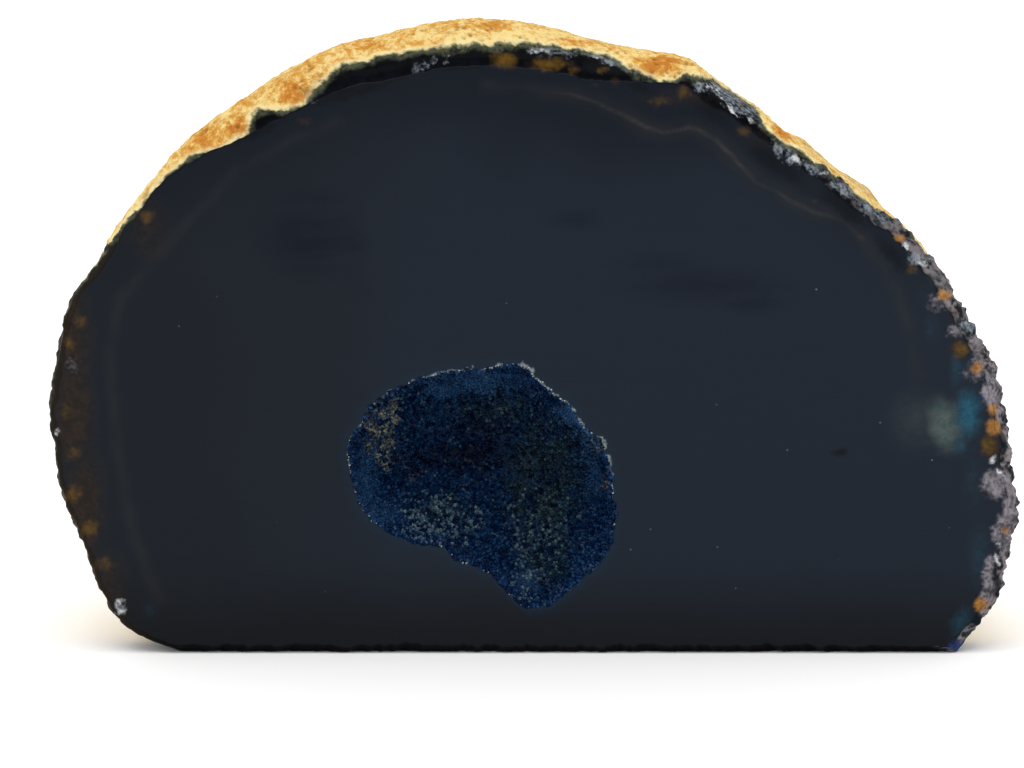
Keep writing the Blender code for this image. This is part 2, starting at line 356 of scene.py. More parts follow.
# Markings in the photograph's view: x, z, half width, half height, strength, and a turn in degrees for some
paint = {
    "amber": (
        (-4, 81.2, 1.9, 1.4, 0.85), (2.2, 80.6, 3, 1, 0.8), (5.5, 79.6, 0.9, 0.8, 0.55),
        (9.2, 79.9, 0.8, 0.8, 0.65), (11, 78.3, 0.9, 0.8, 0.35), (20.3, 76.8, 1.2, 1, 0.6),
        (17, 75.6, 2.4, 0.9, 0.4), (8.3, 77.9, 0.8, 0.6, 0.25), (28.5, 71.6, 1, 0.9, 0.5),
        (-30.9, 72.7, 1.4, 0.9, 0.3), (-52, 59.8, 1.4, 1.2, 0.55), (-61, 45.3, 1.2, 1.3, 0.45),
        (-62.6, 42.4, 0.9, 1.2, 0.6), (-62.9, 33, 1.1, 1.6, 0.35), (-62.1, 27.2, 1.2, 1.4, 0.45),
        (-62.1, 21.5, 1.3, 1.5, 0.65), (-59.9, 17.2, 1.3, 1.3, 0.65), (-57.8, 12.2, 1.5, 1.4, 0.5),
        (51, 52.4, 0.9, 0.7, 0.6), (57.6, 41.5, 1.1, 1.3, 0.7), (61.3, 28.4, 1.3, 1.7, 0.7),
        (38, 62, 0.8, 0.6, 0.3), (44, 57, 1, 0.8, 0.3)),
    "orange": (
        (28.5, 75.4, 0.7, 0.6, 0.7), (49.4, 56.9, 0.8, 0.7, 0.8), (55.4, 49, 1, 0.9, 0.8),
        (59.8, 39, 1.1, 1, 0.75), (61.8, 33.4, 0.8, 0.9, 0.7), (61.9, 30.9, 1.2, 1.6, 0.75),
        (63.6, 16.8, 0.6, 0.8, 0.7), (60.2, 6.6, 1.2, 1.1, 0.75), (33.3, 71, 0.9, 1.4, 0.6)),
    "mauve": (
        (59.8, 39, 2, 1.9, 0.6), (62.4, 23.3, 2.2, 2.2, 1), (63.4, 16.4, 1.7, 2.8, 1),
        (61.3, 10.8, 1, 2.9, 0.9), (57.1, 43.9, 1.5, 1.2, 0.6), (61.6, 35.4, 1.2, 2.4, 0.9),
        (54.6, 48, 1.7, 1.5, 0.5), (-62.2, 39.5, 1, 1.3, 0.3), (64.2, 19.8, 1.1, 1.8, 1),
        (55.8, 50.2, 1.4, 1.6, 0.4), (59.8, 41.6, 0.9, 2.2, 0.5), (61, 7.6, 1, 1, 0.6)),
    "white": (
        (-55.7, 6.3, 0.9, 1, 0.65), (-64.1, 30.2, 0.4, 0.7, 0.55), (61.9, 26.6, 0.35, 0.9, 0.9, -25),
        (62.9, 24.6, 0.25, 0.9, 0.8, 30), (62.8, 14.9, 0.7, 0.3, 0.9), (62.3, 12.8, 0.3, 1, 0.7, 15),
        (50.2, 55.6, 0.4, 0.8, 0.9, 20), (52.4, 53.4, 0.5, 0.4, 0.9), (0.9, 82.3, 1.4, 0.5, 0.6),
        (8.6, 81.5, 0.9, 0.4, 0.5), (26.5, 74.7, 1.9, 0.25, 0.8, -48), (24.1, 77.5, 1, 0.3, 0.6, -35),
        (28.9, 73.2, 0.9, 0.25, 0.6, -45), (35.4, 67.6, 1.1, 0.4, 0.6, -35), (39.2, 65.6, 0.7, 0.4, 0.7),
        (46.4, 61, 1.9, 0.3, 0.7, -28), (-11.9, 81.2, 0.9, 0.2, 0.4, 60),
        (-29.6, 75.3, 0.7, 0.15, 0.35, 60)),
    "frost": (  # pale blue-grey broken quartz
        (27.3, 75.3, 4.8, 1.2, 0.6, -37), (46, 60.4, 3.2, 1.1, 0.65, -38), (52, 54, 1.6, 1.4, 0.5),
        (34, 68.4, 2.8, 1, 0.6, -45), (37.5, 66.4, 2.4, 0.9, 0.6, -30), (41.5, 63.6, 2.4, 0.9, 0.55, -35),
        (3.5, 82.3, 4.4, 0.8, 0.55), (11.5, 80.6, 5, 0.7, 0.5, -18), (22.2, 77.6, 1.6, 0.8, 0.5),
        (61.8, 36.6, 1.2, 1.8, 0.5), (58.4, 44.6, 1.4, 1.5, 0.6, -40), (-15, 80.2, 3, 0.7, 0.3, 35)),
    # teal: the dye's real blue-green, brightened by painted light shining through the thin stone at the edges
    "teal": (
        (58.6, 32.9, 2.2, 4, 1), (57, 39, 1.8, 4, 0.4), (57.6, 4.2, 1.8, 3.4, 0.5, -25),
        (-51.7, 5.9, 2, 2.8, 0.25), (59.2, 24, 2.2, 8, 0.28), (60, 13.5, 2.4, 8, 0.34),
        (53.6, 44.5, 1.8, 3.4, 0.3), (57.6, 28.5, 1.4, 2.5, 0.5)),
    # navy: the dye's real blue, made brighter by painted light coming through the stone at the right edge and
    # the bottom-right corner
    "navy": ((60.5, 34.9, 0.45, 0.4, 0.9), (57.4, 0.9, 1.7, 0.9, 0.9)),
    # glow: painted light, pale patches where light shines through the thin stone at the right edge
    "glow": (
        (55.4, 31.2, 2.8, 4.6, 1, 12), (51.5, 32, 5.5, 6.5, 0.4), (54.3, 51.5, 1.6, 2.4, 0.5),
        (52.6, 49, 3, 3.6, 0.2)),
    # dark: painted shade that widens the black rim along the top of the face, with a soft inner edge; the
    # last spot is a dark spot in the stone
    "dark": (
        (-24.5, 77.3, 9.5, 1.5, 1, 17), (-37, 71.5, 5, 1.1, 0.8, 22), (-11, 80.6, 6, 1.1, 0.9, 3),
        (7, 80, 7, 1.2, 0.6, -8), (14, 77.6, 3, 1.1, 0.7, -20), (24, 74.2, 4, 1.6, 0.7, -35),
        (32.5, 67.2, 6, 1.7, 0.8, -38), (42, 61, 5, 1.6, 0.8, -40), (48.5, 54.5, 4, 1.5, 0.7, -50),
        (41.2, 27.5, 1.1, 0.8, 0.9)),
    "brown": (
        (-62, 43, 2.8, 8, 0.8), (-62, 33, 3, 8, 1), (-60.5, 20, 3, 9, 0.9), (-52, 58, 4, 6, 0.5),
        (-57, 10, 2.5, 5, 0.6), (61.6, 28.1, 1.6, 2, 1), (57.3, 41.5, 1.5, 1.6, 0.9),
        (20, 76, 9, 1.6, 0.4), (30, 70.5, 3, 2, 0.4), (60.8, 22, 1.6, 3, 0.3), (57, 46.3, 1.5, 1.2, 0.6)),
    # darker streaky patches on the face
    "smudge": (
        (-30.1, 57.2, 6.5, 6, 1), (-24.5, 55, 2.4, 5, 0.7), (23.1, 50.4, 10.5, 2.4, 0.8),
        (5.6, 59.4, 3.6, 1.6, 0.6), (29, 48, 5, 1.2, 0.7), (17, 53.5, 6, 1.4, 0.5)),
    "rust": (
        (-39.3, 72.2, 2.2, 1.7, 1), (-32.2, 76.6, 3, 2.2, 0.9), (17.3, 80.3, 3.6, 1.7, 1),
        (33.6, 71.2, 1.6, 2.2, 0.8), (40.6, 66.9, 2.2, 1.6, 0.7), (-6, 86, 6, 0.8, 0.5),
        (-24, 83, 6, 1, 0.6), (8, 83.6, 6, 0.9, 0.6), (-44, 70, 4, 3, 0.5), (-34, 77, 14, 7, 0.32)),
}
softEdges = {  # where a marking ends and where it is at full strength, in half widths
    "glow": (1.5, -0.2), "teal": (1.5, -0.2), "brown": (1.6, 0), "dark": (1.5, 0.1),
    "smudge": (1.5, 0), "amber": (1.6, 0)}
hollowPaint = {
    "khaki": (
        (-21, 30.3, 1.9, 3.9, 1), (-19.3, 32.8, 1, 1.6, 1), (-20.6, 27.1, 1.3, 1.4, 1),
        (-16.6, 24.4, 1.2, 0.7, 0.5), (8.6, 28.9, 0.9, 1.6, 0.5), (9.8, 23.7, 0.6, 1.5, 0.5)),
    # pale: pale crystal grains, partly painted glints that stand in for sparkle
    "pale": (
        (-7, 23.4, 0.5, 1.2, 0.7), (-7.6, 21, 0.6, 1.6, 0.8), (-8.3, 18.2, 0.7, 1.6, 0.9),
        (-9.4, 15.6, 0.9, 1.6, 0.8), (-13.5, 18.6, 5.5, 3.8, 0.65), (0.5, 16, 5, 6, 0.45),
        (-1, 10, 3, 3, 0.5), (-3, 33.5, 8, 1.2, 0.25), (-19, 35, 4, 2, 0.35)),
    "moss": (
        (1.5, 24, 5.5, 9, 1), (-5, 33.5, 7, 2.2, 0.7), (2, 14, 4, 5, 0.8), (-12, 19.5, 4, 2.5, 0.4)),
    # painted sky light: crystals near the rim of the hollow made lighter and bluer, as if catching a pale
    # blue sky
    "sky": (
        (-7.2, 37.2, 6, 1.5, 1), (5.8, 32, 2, 3.4, 1, 40), (-12.4, 36.2, 3.2, 1.4, 0.9),
        (-22.6, 24.5, 1.4, 5, 0.6), (-20.5, 19, 3, 1.6, 0.5), (-1.1, 10, 1.8, 1.8, 0.6),
        (8.2, 24.5, 1.2, 4, 0.5)),
    # painted shadow: the deepest part of the hollow, under its upper wall, made darker
    "cleft": (
        (-8.4, 27.2, 5.6, 2.2, 1), (-15.5, 26.2, 4.6, 1.2, 1), (-7, 31, 3.4, 1.6, 0.8),
        (3, 24, 3, 2, 0.3), (5.2, 29.4, 1.6, 1.2, 0.6)),
}
bandLine = (
    (-6.3, 77.7), (-1.8, 77.3), (1.8, 76.8), (7.3, 75.9), (11, 74.3), (14.4, 72.3), (17.7, 71.2),
    (21.1, 72.1), (24.9, 70.2), (27.6, 66.9), (29.9, 64.6), (34.2, 62.3), (37.4, 60.5), (41.3, 59.3),
    (44.3, 57.1), (46.7, 53.5), (49, 49.4), (50.7, 44.2), (51.8, 38.5))
leftBandLine = (
    (-26.1, 72.9), (-32.8, 70.2), (-39.6, 66.1), (-46.3, 59.3), (-51.7, 53.5), (-55.7, 48.3),
    (-57.1, 41.5), (-56.7, 34.6), (-56, 26.4), (-53.7, 15.5), (-50.3, 7.3))


markingWaver = (  # across and upward: size, height, seed
    ((1.3, 0.45, 61), (0.5, 0.25, 62)), ((1.3, 0.45, 63), (0.5, 0.25, 64)))


def paintFields(points, markings, outside=True):
    # strength of every marking at each point, with edges that waver more the farther back they lie
    x, z = photoPlace(points)
    waver = 1 + 0.35 * np.clip(points[..., 1] - stone["faceY"], 0, 12)
    x, z = (place + waver * layered(points, layers) for place, layers in zip((x, z), markingWaver))
    # on top the view reaches far back, at the sides the markings stop sooner
    slope = np.clip((points[..., 2] - stone["centre"][1]) / np.hypot(
        points[..., 0] - stone["centre"][0], points[..., 2] - stone["centre"][1]), 0, 1)
    reach = 3.5 + 15 * slope ** 5 + 2 * softNoise(points, 3, 67)
    inFront = ease(points[..., 1] - stone["faceY"] - reach, 3.5, 0) if outside else 1
    fields = {}
    for name, spots in markings.items():
        strength = np.zeros(x.shape)
        for spotX, spotZ, halfWidth, halfHeight, full, *turn in spots:
            turned = math.radians(turn[0]) if turn else 0
            across = (x - spotX) * math.cos(turned) + (z - spotZ) * math.sin(turned)
            upward = (z - spotZ) * math.cos(turned) - (x - spotX) * math.sin(turned)
            away = np.hypot(across / halfWidth, upward / halfHeight)
            strength = np.maximum(strength, full * ease(away, *softEdges.get(name, (1.35, 0.35))))
        fields[name] = strength * inFront
    return fields


def lineDistance(points, line):
    x, z = photoPlace(points)
    x = x + 0.3 * softNoise(points, 2, 65)
    z = z + 0.3 * softNoise(points, 2, 66)
    nearest = np.full(x.shape, 99.0)
    for (x0, z0), (x1, z1) in zip(line, line[1:]):
        run, rise = x1 - x0, z1 - z0
        share = np.clip(((x - x0) * run + (z - z0) * rise) / (run * run + rise * rise), 0, 1)
        nearest = np.minimum(nearest, np.hypot(x - x0 - share * run, z - z0 - share * rise))
    return nearest


class NodePad:
    # short calls for the nodes of one tree

    def __init__(self, tree):
        self.tree = tree
        self.count = 0

    def node(self, kind, inputs=(), **values):
        node = self.tree.nodes.new(kind)
        node.location = (self.count % 12 * 180, -(self.count // 12) * 220)
        self.count += 1
        for name, value in values.items():
            setattr(node, name, value)
        self.give(node.inputs, dict(inputs))
        return node

    def give(self, sockets, values):
        for name, value in values.items():
            if isinstance(value, bpy.types.NodeSocket):
                self.tree.links.new(value, sockets[name])
            elif sockets[name].type == "RGBA" and len(value) == 3:
                sockets[name].default_value = (*value, 1)
            else:
                sockets[name].default_value = value

    def math(self, operation, first, second):
        return self.node("ShaderNodeMath", enumerate((first, second)), operation=operation).outputs[0]

    def chain(self, operation, first, *others):
        for other in others:
            first = self.math(operation, first, other)
        return first

    def add(self, *values):
        return self.chain("ADD", *values)

    def times(self, *values):
        return self.chain("MULTIPLY", *values)

    def mix(self, share, first, second):
        return self.node("ShaderNodeMix", {0: share, 6: first, 7: second}, data_type="RGBA").outputs[2]

    def mixValue(self, share, first, second):
        return self.node("ShaderNodeMix", {0: share, 2: first, 3: second}, data_type="FLOAT").outputs[0]

    def coats(self, shade, layers):
        # colours laid over a first one, each through its mask
        for mask, coat in layers:
            shade = self.mix(mask, shade, coat)
        return shade

    def rise(self, value, start, end, low=0, high=1):
        steps = enumerate((value, start, end, low, high))
        return self.node("ShaderNodeMapRange", steps, interpolation_type="SMOOTHSTEP").outputs[0]

    def field(self, name):
        return self.node("ShaderNodeAttribute", attribute_name=name).outputs["Fac"]

    def where(self, stretch=(1, 1, 1), shift=0):
        # object coordinates in millimetres, moved by a shift
        return self.node("ShaderNodeMapping", {
            "Vector": self.node("ShaderNodeTexCoord").outputs["Object"], "Location": (shift,) * 3,
            "Scale": [share / mm for share in stretch]}).outputs[0]

    def cloud(self, place, size, detail=3, rough=0.55, seed=None):
        # without a seed the noise has three dimensions, which takes less time to draw
        seeds = {} if seed is None else {"W": seed}
        return self.node("ShaderNodeTexNoise", {
            "Vector": place, "Scale": 1 / size, "Detail": detail, "Roughness": rough, **seeds},
            noise_dimensions="4D" if seeds else "3D").outputs["Fac"]

    def cells(self, place, size):
        return self.node("ShaderNodeTexVoronoi", {"Vector": place, "Scale": 1 / size}).outputs["Distance"]

    def bump(self, height, strength, distance):
        return self.node("ShaderNodeBump", {
            "Height": height, "Strength": strength, "Distance": distance * mm}).outputs[0]

    def group(self, tree):
        return self.node("ShaderNodeGroup", node_tree=tree).outputs


number, colour = "NodeSocketFloat", "NodeSocketColor"


def screen(*shade):
    # linear colour for red, green and blue as seen on a screen, 0 to 255
    return tuple(v / 255 / 12.92 if v <= 10.3 else ((v / 255 + 0.055) / 1.055) ** 2.4 for v in shade)


def newLook(name, shades):
    # a node group with named colours in, and a colour, a roughness and a height out
    tree = bpy.data.node_groups.new(name, "ShaderNodeTree")
    for key, shade in shades.items():
        socket = tree.interface.new_socket(key, in_out="INPUT", socket_type=colour)
        socket.default_value = (*screen(*shade), 1)
    for key, kind in (("Colour", colour), ("Roughness", number), ("Height", number)):
        tree.interface.new_socket(key, in_out="OUTPUT", socket_type=kind)
    pad = NodePad(tree)
    return pad, pad.node("NodeGroupInput").outputs, pad.node("NodeGroupOutput").inputs


def buildRindGroup():
    pad, given, out = newLook("rindLook", {
        "Cream": (222, 199, 134), "Gold": (198, 146, 66), "Rust": (174, 104, 40),
        "Pale Edge": (222, 214, 168), "Torn Edge": (104, 104, 78), "Dark Grain": (124, 78, 36),
        "Pit": (116, 80, 42), "Aged": (150, 124, 82)})
    add, times, rise, cloud = pad.add, pad.times, pad.rise, pad.cloud
    place = pad.where()
    depth = pad.field("rindDepth")
    grain = cloud(place, 0.38, 2, 0.6, 1)
    clumps = cloud(place, 0.95, 2, 0.6, 5)
    patches = cloud(place, 4.2, 3, 0.6, 2)
    broad = cloud(place, 14, 2, 0.5, 3)
    mixed = add(times(clumps, 0.8), times(grain, 0.7), times(patches, 0.7))
    warm = times(pad.field("rust"), 0.42)
    shade = pad.coats(given["Cream"], (
        (rise(add(mixed, times(warm, 0.7)), 0.99, 1.32), given["Gold"]),
        (times(rise(add(mixed, warm), 1.24, 1.62), 0.85), given["Rust"]),
        (times(rise(depth, 1.1, 0.1), rise(grain, 0.35, 0.6, 0.3, 0.9)), given["Pale Edge"]),
        (times(rise(depth, 0.5, 0), rise(clumps, 0.42, 0.6), 0.8), given["Torn Edge"]),
        (times(rise(pad.cells(place, 0.9), 0.2, 0.06), rise(clumps, 0.5, 0.62), 0.4),
         given["Dark Grain"]),
        (times(pad.field("pit"), 0.5), given["Pit"]),
        (times(rise(depth, 9, 26), rise(broad, 0.42, 0.62), 0.6), given["Aged"])))
    lump = times(pad.cells(place, 0.42), -0.9)
    pad.give(out, {
        "Colour": shade, "Roughness": rise(grain, 0.3, 0.7, 0.78, 0.95),
        "Height": add(times(clumps, 0.7), grain, lump)})
    return pad.tree


agateTints = (  # marking, two colours that clouds mix, strength, how much the clouds break its edge
    # dark: painted shade along the top rim, and one dark spot in the stone
    ("dark", (5, 7, 11), (9, 13, 20), 0.85, 0.5),
    ("brown", (31, 25, 19), (44, 34, 26), 0.8, 0.25),
    # glow: painted light shining through the thin stone
    ("glow", (56, 72, 72), (72, 82, 80), 0.95, 0),
    # teal: real blue-green dye with painted light shining through the thin stone
    ("teal", (24, 66, 86), (34, 80, 98), 0.9, 0.12),
    ("frost", (30, 46, 58), (134, 142, 150), 0.85, 1.2),
    ("mauve", (72, 71, 77), (134, 127, 134), 0.88, 0.6),
    ("amber", (76, 57, 22), (98, 72, 26), 0.8, 0.15),
    ("orange", (132, 90, 42), (166, 118, 54), 0.85, 0.25),
    # navy: real blue dye with painted light coming through the stone
    ("navy", (14, 28, 62), (34, 56, 106), 0.9, 0.2),
    ("white", (120, 128, 136), (206, 206, 206), 0.9, 1))


def buildAgateGroup():
    pad, given, out = newLook("agateLook", {
        "Deep Blue": (24, 31, 41), "Warm Grey": (21, 26, 33), "Top Blue": (12, 18, 27),
        "Foot Grey": (16, 17, 21), "Clear Edge": (5, 6, 9), "Brown Edge": (32, 28, 22), "Dark Streaks": (7, 13, 26),
        "Grey Quartz": (34, 36, 38), "Pale Quartz": (134, 126, 130), "Clear Quartz": (14, 26, 32),
        "Band": (66, 62, 54), "Halo": (14, 38, 58), "Broken Edge": (122, 134, 136),
        "Under Rind": (78, 82, 66), "Dark Fleck": (14, 22, 34), "Pale Fleck": (140, 150, 150)})
    add, times, rise, cloud = pad.add, pad.times, pad.rise, pad.cloud
    place = pad.where()
    split = pad.node("ShaderNodeSeparateXYZ", {0: place}).outputs
    x, z = split["X"], split["Z"]
    inward = pad.field("inward")
    haze = add(times(cloud(place, 22, 1, 0.5), 30), -15)
    # painted shade: the face made darker along its top edge, toward the rind
    nearTop = times(rise(inward, 9, 0.5, 0, 0.6), rise(z, 42, 64))
    streaks = cloud(pad.where((0.22, 1, 0.9), 40), 2.4, 2, 0.6)
    smudge = times(pad.field("smudge"), rise(streaks, 0.25, 0.62, 0.3, 1))
    quartz = times(rise(pad.field("quartzRim"), 0.5, 1), rise(inward, 0.3, -0.4, 0, 0.9))
    quartzClouds = rise(cloud(pad.where(shift=110), 1.1, 2, 0.6), 0.36, 0.62)
    clearParts = rise(cloud(pad.where(shift=120), 3.4, 1, 0.5), 0.5, 0.6, 0, 0.8)
    fromBand = pad.field("bandDistance")
    band = add(rise(fromBand, 0.5, 0), times(rise(fromBand, 2.2, 0.2), 0.3))
    bandClouds = rise(cloud(pad.where(shift=60), 5, 1, 0.5), 0.3, 0.6, 0.12, 0.34)
    fromHollow = pad.field("fromHollow")
    halo = times(rise(fromHollow, 1.8, 0), rise(fromHollow, 0, 0.01))
    # Warm Grey and Deep Blue are the stone's dark tone together with a painted reflection of the pale floor
    # in front of the face
    shade = pad.coats(given["Warm Grey"], (
        (rise(add(x, haze), -48, -8), given["Deep Blue"]),
        # darker toward the top of the face; the next layer is painted shade along the top edge
        (rise(add(z, haze), 56, 84, 0, 0.8), given["Top Blue"]),
        (nearTop, given["Top Blue"]),
        (rise(add(z, times(haze, 0.15)), 14, 2, 0, 0.85), given["Foot Grey"]),
        (times(smudge, 0.7), given["Dark Streaks"]),
        (rise(inward, 0.5, -0.4),
         pad.mix(rise(x, -48, -56), given["Clear Edge"], given["Brown Edge"])),
        (quartz, pad.coats(given["Grey Quartz"], (
            (quartzClouds, given["Pale Quartz"]), (clearParts, given["Clear Quartz"])))),
        (times(band, bandClouds), given["Band"]),
        (times(halo, 0.4), given["Halo"])))
    cloudy = cloud(pad.where(shift=70), 1.3, 2, 0.6)
    fine = cloud(pad.where(shift=80), 0.45, 1, 0.6)
    broken = add(times(cloudy, 0.6), times(fine, 0.4))
    loose = add(broken, -0.5)
    grainy = rise(broken, 0.36, 0.62)
    for name, low, high, strength, loss in agateTints:
        marking = pad.field(name)
        mask = rise(add(marking, times(loose, 1.6 * loss)), 0.1, 0.9)
        mask = times(mask, rise(marking, 0, 0.1, 0, strength))
        shade = pad.mix(mask, shade, pad.mix(grainy, screen(*low), screen(*high)))
    nearRind = rise(pad.field("rindDepth"), -1.25, -0.2)
    front = times(nearRind, rise(broken, 0.36, 0.58, 0.25, 1), 0.85)
    speck = times(rise(pad.cells(place, 4.5), 0.032, 0.02), rise(inward, 0.5, 2, 0, 0.4))
    shade = pad.coats(shade, (
        (times(pad.field("brokenEdge"), rise(fine, 0.3, 0.6, 0.3, 0.9)), given["Broken Edge"]),
        (front, given["Under Rind"]),
        (speck, pad.mix(grainy, given["Dark Fleck"], given["Pale Fleck"]))))
    scuffs = cloud(pad.where((0.25, 1, 2.5), 90), 3, 2, 0.65)
    rough = add(rise(scuffs, 0.3, 0.7, 0.16, 0.3), times(smudge, 0.12))
    quartzEdge = times(pad.field("quartzRim"), rise(inward, 0.2, -0.3))
    crystalline = pad.chain("MAXIMUM", pad.field("mauve"), pad.field("frost"), nearRind, quartzEdge)
    pad.give(out, {
        "Colour": shade, "Roughness": add(rough, times(crystalline, 0.3)),
        "Height": add(times(fine, add(times(crystalline, 4), 0.15)), scuffs)})
    return pad.tree


rindGroup = buildRindGroup()
agateGroup = buildAgateGroup()


def newMaterial(name, roughness=0.5, specular=0.5):
    material = bpy.data.materials.new(name)
    material.use_nodes = True
    pad, sockets = NodePad(material.node_tree), material.node_tree.nodes["Principled BSDF"].inputs
    pad.give(sockets, {"Roughness": roughness, "Specular IOR Level": specular})
    return material, pad, sockets


def plainMaterial(name, group, specular, strength, distance):
    # one look alone, with the strength and the depth in millimetres that its height shows
    material, pad, sockets = newMaterial(name, specular=specular)
    look = pad.group(group)
    pad.give(sockets, {
        "Base Color": look["Colour"], "Roughness": look["Roughness"],
        "Normal": pad.bump(look["Height"], strength, distance)})
    return material


sawnLook = {
    "dark": screen(44, 58, 78), "pale": screen(84, 98, 112), "marks": screen(30, 38, 50), "rough": 0.62}


def rimMaterial(name, sawMarks=False):
    # polished agate that turns into rind, and for the base a matt sawn surface
    material, pad, sockets = newMaterial(name, specular=0.02)
    agate, rindLook = pad.group(agateGroup), pad.group(rindGroup)
    crustShare = pad.field("crust")
    shade = pad.mix(crustShare, agate["Colour"], rindLook["Colour"])
    rough = pad.mixValue(crustShare, agate["Roughness"], rindLook["Roughness"])
    tall = pad.mixValue(crustShare, pad.times(agate["Height"], 0.25), rindLook["Height"])
    if sawMarks:
        cut = pad.field("sawn")
        marks = pad.cloud(pad.where((0.05, 2.2, 1)), 1, 2, 0.6, 2)
        mottle = pad.cloud(pad.where(), 7, 3, 0.6, 3)
        shade = pad.mix(cut, shade, pad.coats(sawnLook["dark"], (
            (pad.rise(mottle, 0.35, 0.65), sawnLook["pale"]),
            (pad.rise(marks, 0.4, 0.6, 0, 0.35), sawnLook["marks"]))))
        rough = pad.mixValue(cut, rough, sawnLook["rough"])
        tall = pad.mixValue(cut, tall, marks)
    pad.give(sockets, {"Base Color": shade, "Roughness": rough, "Normal": pad.bump(tall, 0.6, 0.18)})
    return material


polishedAgate = plainMaterial("polishedAgate", agateGroup, 0.07, 0.06, 0.05)
rimFinish = rimMaterial("rimAgate")
baseFinish = rimMaterial("sawnAgate", True)
roughRind = plainMaterial("roughRind", rindGroup, 0.15, 0.7, 0.25)


def finishPiece(piece):
    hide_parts("agate_geode")
    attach(piece, "root")


print("polished face")
mouth = {
    "outline": (
        (-24.7, 29), (-22.3, 32.6), (-20.8, 34.8), (-17.6, 36.5), (-14.6, 37.9), (-7.2, 38.6),
        (-1.8, 39.4), (-0.5, 38.5), (1.8, 36.1), (6.9, 30.7), (9.1, 29.3), (10.4, 23.1), (11, 19.3),
        (9.4, 13.1), (6.9, 10.7), (1.3, 6.6), (-0.7, 6), (-2.6, 7.7), (-5.9, 11.5), (-12.5, 14.9),
        (-20, 17.2), (-22.2, 18.8), (-24.4, 25)),
    "centre": (-6, 25),
    "blur": math.radians(2.5),
    "waver": ((2.4, 0.45, 51), (0.7, 0.25, 52)),  # size, height, seed
    "deep": 14,
    "rise": 2.5,
    "crumble": 0.35,
    "wall": 1.5,
    "wallSlant": 0.4,
    "paleWaver": ((1.1, 1.6, 54), (0.45, 1, 55)),
    "paleEdge": (  # degrees round the mouth's centre, and how thick the broken pale edge shows
        (0, 0.15), (8, 0.25), (20, 0.3), (26, 0.18), (45, 0.16), (60, 0.2), (66, 0.35), (78, 0.4),
        (86, 0.3), (100, 0.25), (120, 0.2), (135, 0.08), (150, 0.05), (175, 0.06), (200, 0), (250, 0),
        (292, 0.06), (300, 0), (345, 0.02)),
}
mouthCentre = np.array(mouth["centre"])


def mouthRadii(directions):
    radii = outlineRadii(mouth["outline"], mouth["centre"], directions, mouth["blur"])
    return radii + layered(ring(directions, radii), mouth["waver"])


outer = surface[0]
rays, outerReach = polar(outer[:, (0, 2)], mouthCentre)
innerReach = mouthRadii(rays)
edgeRows = np.concatenate((np.arange(0, 3, 0.25), np.arange(3, 8.5, 0.5)))
mouthRows = np.array((3, 2.2, 1.5, 1, 0.7, 0.45, 0.3, 0.2, 0.1, 0))
tight = np.minimum(1, (outerReach - innerReach) / (edgeRows[-1] + mouthRows[0] + 4))
start, end = outerReach - edgeRows[-1] * tight, innerReach + mouthRows[0] * tight
reaches = [outerReach - step * tight for step in edgeRows]
reaches += [start + (end - start) * share for share in np.linspace(0, 1, 32)[1:-1]]
reaches += [innerReach + step * tight for step in mouthRows]
reaches = np.array(reaches)
plate = np.zeros(reaches.shape + (3,))
plate[..., 0] = mouthCentre[0] + np.cos(rays) * reaches
plate[..., 1] = stone["faceY"]
plate[..., 2] = mouthCentre[1] + np.sin(rays) * reaches
fromHollow = reaches - innerReach
plate[..., 1] += mouth["crumble"] * ease(fromHollow, 0.45, 0) ** 2 * (0.7 + softNoise(plate, 0.8, 53))
plate[0] = outer
wall = plate[-1].copy()
wall[:, 0] += np.cos(rays) * mouth["wallSlant"]
wall[:, 2] += np.sin(rays) * mouth["wallSlant"]
wall[:, 1] = stone["faceY"] + mouth["wall"]
closedIds = gridIds(len(reaches) + 1, len(angles))
plateFields = paintFields(plate, paint)
plateFields["inward"] = outerReach - reaches
bandFade = 0.45 * ease(plate[..., 0], 10, -2) + 0.45 * ease(plate[..., 0], 36, 48)
plateFields["bandDistance"] = np.minimum(
    bandFade + lineDistance(plate, bandLine), 0.6 + lineDistance(plate, leftBandLine))
plateFields["rindDepth"] = np.full(reaches.shape, -9.0)
paleWidth = byDegrees(rays, mouth["paleEdge"]) * (1 + layered(plate, mouth["paleWaver"]))
plateFields["brokenEdge"] = ease(fromHollow - paleWidth, 0.12, -0.08)
plateFields["fromHollow"] = fromHollow + 0.02
facePlate = makeMesh(
    "polishedFace", np.concatenate((plate, wall[None])).reshape(-1, 3), quads(closedIds, True),
    quads(closedIds[(-1, 0), :], True), plateFields, polishedAgate)
finishPiece(facePlate)

print("rim and rind")
surfaceFields = {
    "rindDepth": rindDepth, "crust": crust, "pit": np.maximum(pits, smallPits), "inward": -alongRows,
    "sawn": sawn * (surface[..., 2] < 0.05), "quartzRim": quartzRim + 0 * crust}
paintRows = lastRim + stone["rindSplits"][0]
surfacePaint = paintFields(surface[:paintRows], paint)
unpainted = np.zeros((len(surface) - paintRows, len(angles)))
for name, values in surfacePaint.items():
    surfaceFields[name] = np.concatenate((values, unpainted))
surfaceFields["bandDistance"] = np.full(crust.shape, 9.0)
archRange = np.arange(-1, stone["archColumns"] + 2) % len(angles)
baseRange = np.arange(stone["archColumns"] - 1, len(angles) + 2) % len(angles)
finishPiece(makeWedge("polishedRim", 0, lastRim - 1, archRange, surfaceFields, rimFinish))
bandStarts = (lastRim - 1, *(lastRim + row for row in stone["rindSplits"]), len(surface) - 1)
for name, start, end in zip(("rindFront", "rindMiddle", "rindBack"), bandStarts, bandStarts[1:]):
    finishPiece(makeWedge(name, start, end, archRange, ("rindDepth", "pit", "rust"), roughRind))
finishPiece(makeWedge("sawnBase", 0, len(surface) - 1, baseRange, surfaceFields, baseFinish))

